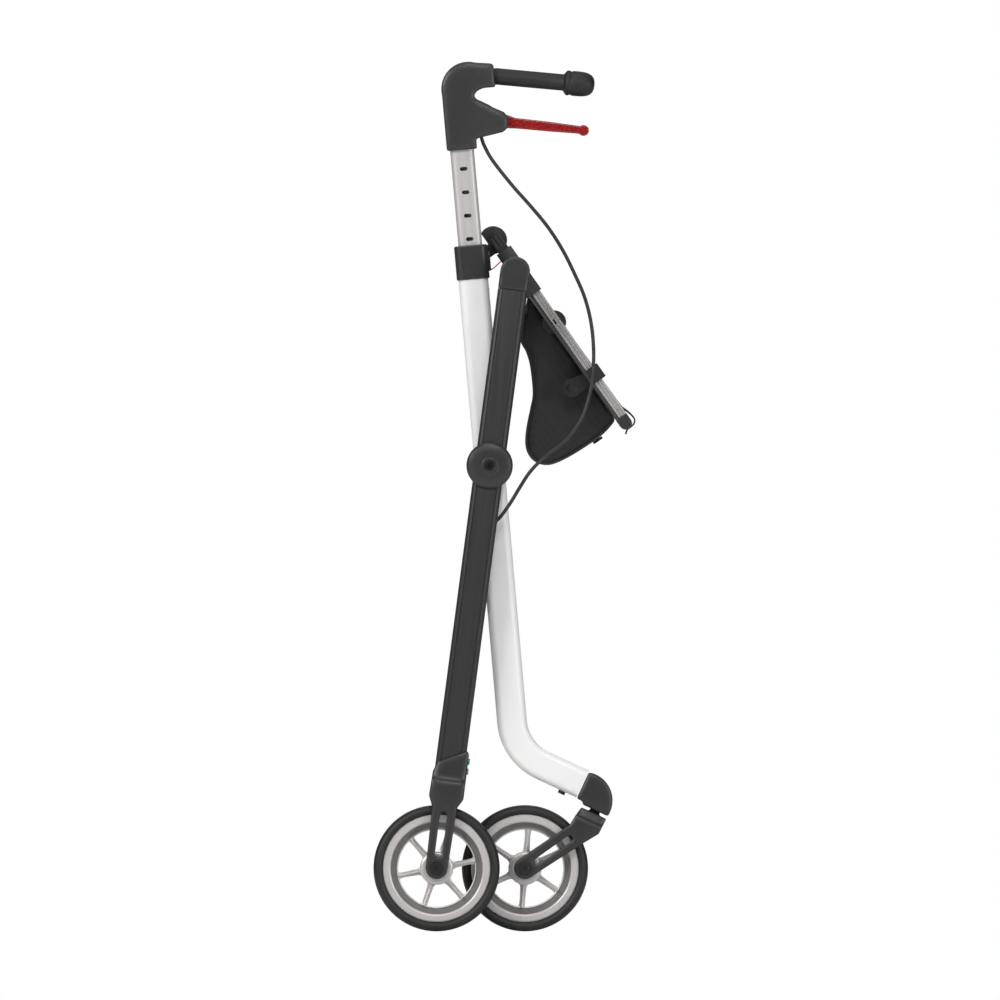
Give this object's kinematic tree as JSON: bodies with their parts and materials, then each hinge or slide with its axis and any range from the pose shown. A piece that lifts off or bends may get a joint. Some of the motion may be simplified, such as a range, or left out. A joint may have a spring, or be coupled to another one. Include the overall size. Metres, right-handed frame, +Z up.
{
  "type": "folding rollator walker",
  "caption": "Folding rollator walking frame standing folded: crossed front and rear frames, height-adjustable grips with brake levers, sliding seat rails, bag, swivel casters",
  "frame": {"origin": "on the floor, below the middle of the folded walker's box", "axes": "+X forward (the casters' side), +Y the walker's left, +Z up"},
  "size_m": [0.2866, 0.5956, 0.9637],
  "materials": {
    "white_paint": "satin",
    "black_plastic": "satin",
    "black_anodised": "satin",
    "bright_aluminium": "satin",
    "tyre": "matte",
    "rim_grey": "satin",
    "black_rubber": "matte",
    "red_lever": "gloss",
    "green_plastic": "satin",
    "red_webbing": "matte",
    "black_fabric": "matte",
    "steel": "satin"
  },
  "bodies": {
    "front_frame": {"front_tube_left": "white_paint", "front_tube_right": "white_paint", "collars": "black_plastic", "seat_catch_tube": "bright_aluminium", "pivot_tube": "black_anodised", "lower_cross_tube": "white_paint", "caster_heads": "black_plastic", "head_pins": "black_rubber", "brake_cable_left": "black_rubber", "brake_cable_right": "black_rubber"},
    "rear_frame": {"rear_leg_left": "black_anodised", "rear_leg_right": "black_anodised", "leg_caps": "black_plastic", "rear_forks": "black_plastic", "rear_cross_tube": "black_anodised", "pivot_caps": "black_plastic", "pivot_bolts": "steel", "leg_bumpers": "black_rubber", "rear_axles": "steel", "brake_adjusters": "green_plastic", "seat_pivot_pins": "steel"},
    "seat_guides": {"seat_sleeves": "black_plastic"},
    "seat_frame": {"seat_rail_left": "bright_aluminium", "seat_rail_right": "bright_aluminium", "rail_rear_caps": "black_plastic", "rail_front_caps": "black_plastic", "seat_hooks": "black_plastic", "seat_cross_bar": "black_anodised", "rail_screws": "steel", "seat_cloth": "black_fabric", "bag": "black_fabric", "bag_buckle": "black_plastic", "pull_strap": "red_webbing"},
    "hangers": {"bag_hangers": "black_plastic"},
    "handle_left": {"height_tube_left": "bright_aluminium", "handle_housing_left": "black_plastic", "grip_left": "black_rubber", "lever_pin_left": "steel"},
    "button_left": {"height_button_left": "black_plastic"},
    "lever_left": {"brake_lever_left": "red_lever"},
    "shoe_left": {"brake_shoe_left": "black_rubber"},
    "caster_left": {"caster_fork_left": "black_plastic", "caster_axle_left": "steel"},
    "wheel_front_left": {"tyre_front_left": "tyre", "rim_front_left": "rim_grey"},
    "wheel_rear_left": {"tyre_rear_left": "tyre", "rim_rear_left": "rim_grey"},
    "handle_right": {"height_tube_right": "bright_aluminium", "handle_housing_right": "black_plastic", "grip_right": "black_rubber", "lever_pin_right": "steel"},
    "button_right": {"height_button_right": "black_plastic"},
    "lever_right": {"brake_lever_right": "red_lever"},
    "shoe_right": {"brake_shoe_right": "black_rubber"},
    "caster_right": {"caster_fork_right": "black_plastic", "caster_axle_right": "steel"},
    "wheel_front_right": {"tyre_front_right": "tyre", "rim_front_right": "rim_grey"},
    "wheel_rear_right": {"tyre_rear_right": "tyre", "rim_rear_right": "rim_grey"}
  },
  "joints": [
    {"name": "fold", "type": "hinge", "parent": "front_frame", "child": "rear_frame", "pos_m": [-0.017, 0, 0.51615], "axis": [0, 1, 0], "range_deg": [0, 47.5]},
    {"name": "guide_turn", "type": "hinge", "parent": "rear_frame", "child": "seat_guides", "pos_m": [0.01132, 0, 0.73129], "axis": [0, -1, 0], "range_deg": [0, 77.4]},
    {"name": "seat_slide", "type": "slide", "parent": "seat_guides", "child": "seat_frame", "axis": [-0.5764, 0, 0.8171], "range_m": [0, 0.1481]},
    {"name": "hanger_slide", "type": "slide", "parent": "seat_frame", "child": "hangers", "axis": [0.5764, 0, -0.8171], "range_m": [0, 0.0465]},
    {"name": "handle_height_left", "type": "slide", "parent": "front_frame", "child": "handle_left", "axis": [-0.0872, 0, 0.9962], "range_m": [-0.078, 0.052], "deforming": ["brake_cable_left"]},
    {"name": "button_press_left", "type": "slide", "parent": "front_frame", "child": "button_left", "axis": [-0.9962, 0, -0.0872], "range_m": [0, 0.0012], "stiffness_N_per_m": 400},
    {"name": "lever_squeeze_left", "type": "hinge", "parent": "handle_left", "child": "lever_left", "pos_m": [-0.02448, 0.238, 0.89996], "axis": [0, -1, 0], "range_deg": [0, 14], "stiffness_Nm_per_rad": 2, "springref_deg": -5.73},
    {"name": "shoe_press_left", "type": "slide", "parent": "rear_frame", "child": "shoe_left", "axis": [-0.1305, 0, -0.9914], "range_m": [0, 0.0025]},
    {"name": "caster_swivel_left", "type": "hinge", "parent": "front_frame", "child": "caster_left", "pos_m": [0.0995, 0.238, 0.13291], "axis": [0.4226, 0, 0.9063], "range_deg": [0, 270]},
    {"name": "front_wheel_spin_left", "type": "hinge", "parent": "caster_left", "child": "wheel_front_left", "pos_m": [0.02217, 0.238, 0.07], "axis": [0, 1, 0], "continuous": true},
    {"name": "rear_wheel_spin_left", "type": "hinge", "parent": "rear_frame", "child": "wheel_rear_left", "pos_m": [-0.07574, 0.272, 0.07], "axis": [0, 1, 0], "continuous": true},
    {"name": "handle_height_right", "type": "slide", "parent": "front_frame", "child": "handle_right", "axis": [-0.0872, 0, 0.9962], "range_m": [-0.078, 0.052], "deforming": ["brake_cable_right"]},
    {"name": "button_press_right", "type": "slide", "parent": "front_frame", "child": "button_right", "axis": [-0.9962, 0, -0.0872], "range_m": [0, 0.0012], "stiffness_N_per_m": 400},
    {"name": "lever_squeeze_right", "type": "hinge", "parent": "handle_right", "child": "lever_right", "pos_m": [-0.02448, -0.238, 0.89996], "axis": [0, -1, 0], "range_deg": [0, 14], "stiffness_Nm_per_rad": 2, "springref_deg": -5.73},
    {"name": "shoe_press_right", "type": "slide", "parent": "rear_frame", "child": "shoe_right", "axis": [-0.1305, 0, -0.9914], "range_m": [0, 0.0025]},
    {"name": "caster_swivel_right", "type": "hinge", "parent": "front_frame", "child": "caster_right", "pos_m": [0.0995, -0.238, 0.13291], "axis": [-0.4226, 0, -0.9063], "range_deg": [0, 270]},
    {"name": "front_wheel_spin_right", "type": "hinge", "parent": "caster_right", "child": "wheel_front_right", "pos_m": [0.02217, -0.238, 0.07], "axis": [0, 1, 0], "continuous": true},
    {"name": "rear_wheel_spin_right", "type": "hinge", "parent": "rear_frame", "child": "wheel_rear_right", "pos_m": [-0.07574, -0.272, 0.07], "axis": [0, 1, 0], "continuous": true}
  ],
  "couplings": [
    {"joint": "guide_turn", "follows": "fold", "ratio": 1.6274},
    {"joint": "seat_slide", "follows": "fold", "m_per_rad": 0.17852},
    {"joint": "hanger_slide", "follows": "fold", "m_per_rad": 0.055969},
    {"joint": "shoe_press_left", "follows": "lever_squeeze_left", "m_per_rad": 0.009822},
    {"joint": "shoe_press_right", "follows": "lever_squeeze_right", "m_per_rad": 0.009822}
  ]
}
